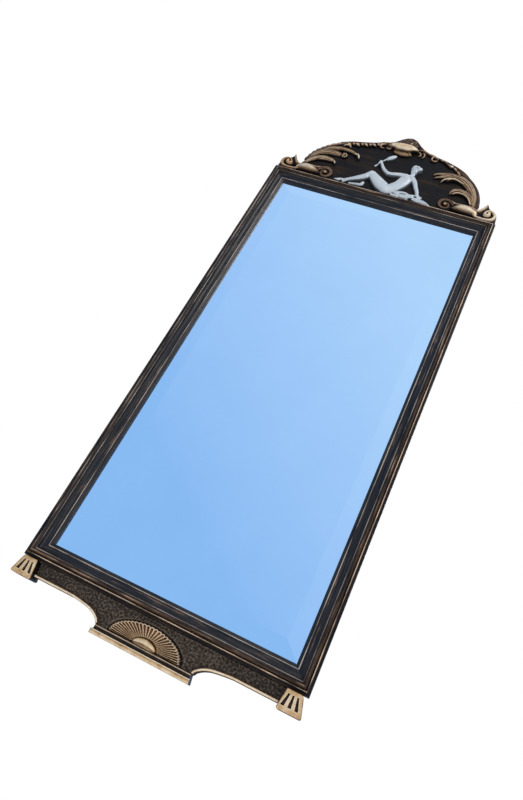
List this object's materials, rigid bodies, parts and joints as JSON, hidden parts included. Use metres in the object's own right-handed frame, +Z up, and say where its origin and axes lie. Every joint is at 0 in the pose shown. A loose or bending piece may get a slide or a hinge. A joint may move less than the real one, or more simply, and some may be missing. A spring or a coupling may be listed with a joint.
{
  "type": "framed wall mirror",
  "caption": "Tall framed mirror: bevelled plate in a mitred gilt-lined moulding, arched carved crest with a reclining figure in relief, shaped apron with a fan.",
  "frame": {"origin": "middle of the crest batten's flat back face, in the wall plane, level with the joint between the top rail and the crest", "axes": "+X to the right of someone facing the mirror, +Y back into the wall, +Z up"},
  "size_m": [0.6058, 0.0463, 1.4858],
  "materials": {
    "moulding_wood": "dark brown paint over wood with rubbed bronze highs, semi-gloss",
    "crest_ground": "near-black brown stain, satin",
    "bronze_gilt": "bronze-brown gilding rubbed back on the high points, satin",
    "bright_gilt": "pale cream gold gilding with dark wash in the hollows, satin",
    "white_biscuit": "unglazed white biscuit porcelain, soft sheen",
    "stippled_ground": "dark grey-brown stippled paint, matt",
    "silvered_plate": "silvered plate glass with a wide polished bevel",
    "kraft_paper": "brown lining paper, matt",
    "bare_wood": "unfinished pine and plywood, matt",
    "plated_steel": "brass-plated steel, slightly tarnished"
  },
  "bodies": {
    "root": {"apron_batten": "bare_wood", "apron_batten_screw_1": "plated_steel", "apron_batten_screw_2": "plated_steel", "apron_batten_screw_3": "plated_steel", "apron_batten_screw_4": "plated_steel", "apron_bead_left": "bright_gilt", "apron_bead_right": "bright_gilt", "apron_panel": "stippled_ground", "back_board": "bare_wood", "backing_sheet": "kraft_paper", "base_bar": "bright_gilt", "corner_volute_left": "bright_gilt", "corner_volute_right": "bright_gilt", "crest_batten": "bare_wood", "crest_batten_screw_1": "plated_steel", "crest_batten_screw_2": "plated_steel", "crest_batten_screw_3": "plated_steel", "crest_batten_screw_4": "plated_steel", "crest_batten_screw_5": "plated_steel", "crest_batten_screw_6": "plated_steel", "crest_cartouche": "bright_gilt", "crest_panel": "crest_ground", "crest_spray_left": "bronze_gilt", "crest_spray_right": "bronze_gilt", "fan_boss": "bright_gilt", "fan_shell": "bronze_gilt", "figure_relief": "white_biscuit", "hanger_screw_left_1": "plated_steel", "hanger_screw_left_2": "plated_steel", "hanger_screw_right_1": "plated_steel", "hanger_screw_right_2": "plated_steel", "hanger_strap_left": "plated_steel", "hanger_strap_right": "plated_steel", "keystone_left": "bright_gilt", "keystone_right": "bright_gilt", "mirror_plate": "silvered_plate", "mitre_key_bottom_left": "moulding_wood", "mitre_key_bottom_right": "moulding_wood", "mitre_key_top_left": "moulding_wood", "mitre_key_top_right": "moulding_wood", "rail_bottom": "moulding_wood", "rail_top": "moulding_wood", "stile_left": "moulding_wood", "stile_right": "moulding_wood", "turn_button_screw_1": "plated_steel", "turn_button_screw_2": "plated_steel", "turn_button_screw_3": "plated_steel", "turn_button_screw_4": "plated_steel", "turn_button_screw_5": "plated_steel", "turn_button_screw_6": "plated_steel"},
    "turn_button_1": {"turn_button_1": "plated_steel"},
    "turn_button_2": {"turn_button_2": "plated_steel"},
    "turn_button_3": {"turn_button_3": "plated_steel"},
    "turn_button_4": {"turn_button_4": "plated_steel"},
    "turn_button_5": {"turn_button_5": "plated_steel"},
    "turn_button_6": {"turn_button_6": "plated_steel"},
    "hanger_ring_left": {"hanger_ring_left": "plated_steel"},
    "hanger_ring_right": {"hanger_ring_right": "plated_steel"}
  },
  "joints": [
    {"name": "turn_button_1_turn", "type": "hinge", "parent": "root", "child": "turn_button_1", "pos_m": [-0.276, -0.00925, -0.17], "axis": [0, 1, 0], "continuous": true},
    {"name": "turn_button_2_turn", "type": "hinge", "parent": "root", "child": "turn_button_2", "pos_m": [-0.276, -0.00925, -0.585], "axis": [0, 1, 0], "continuous": true},
    {"name": "turn_button_3_turn", "type": "hinge", "parent": "root", "child": "turn_button_3", "pos_m": [-0.276, -0.00925, -1], "axis": [0, 1, 0], "continuous": true},
    {"name": "turn_button_4_turn", "type": "hinge", "parent": "root", "child": "turn_button_4", "pos_m": [0.276, -0.00925, -0.17], "axis": [0, 1, 0], "continuous": true},
    {"name": "turn_button_5_turn", "type": "hinge", "parent": "root", "child": "turn_button_5", "pos_m": [0.276, -0.00925, -0.585], "axis": [0, 1, 0], "continuous": true},
    {"name": "turn_button_6_turn", "type": "hinge", "parent": "root", "child": "turn_button_6", "pos_m": [0.276, -0.00925, -1], "axis": [0, 1, 0], "continuous": true},
    {"name": "hanger_ring_left_swing", "type": "hinge", "parent": "root", "child": "hanger_ring_left", "pos_m": [-0.284, -0.0051, -0.28], "axis": [1, 0, 0], "range_deg": [0, 180]},
    {"name": "hanger_ring_right_swing", "type": "hinge", "parent": "root", "child": "hanger_ring_right", "pos_m": [0.284, -0.0051, -0.28], "axis": [1, 0, 0], "range_deg": [0, 180]}
  ]
}
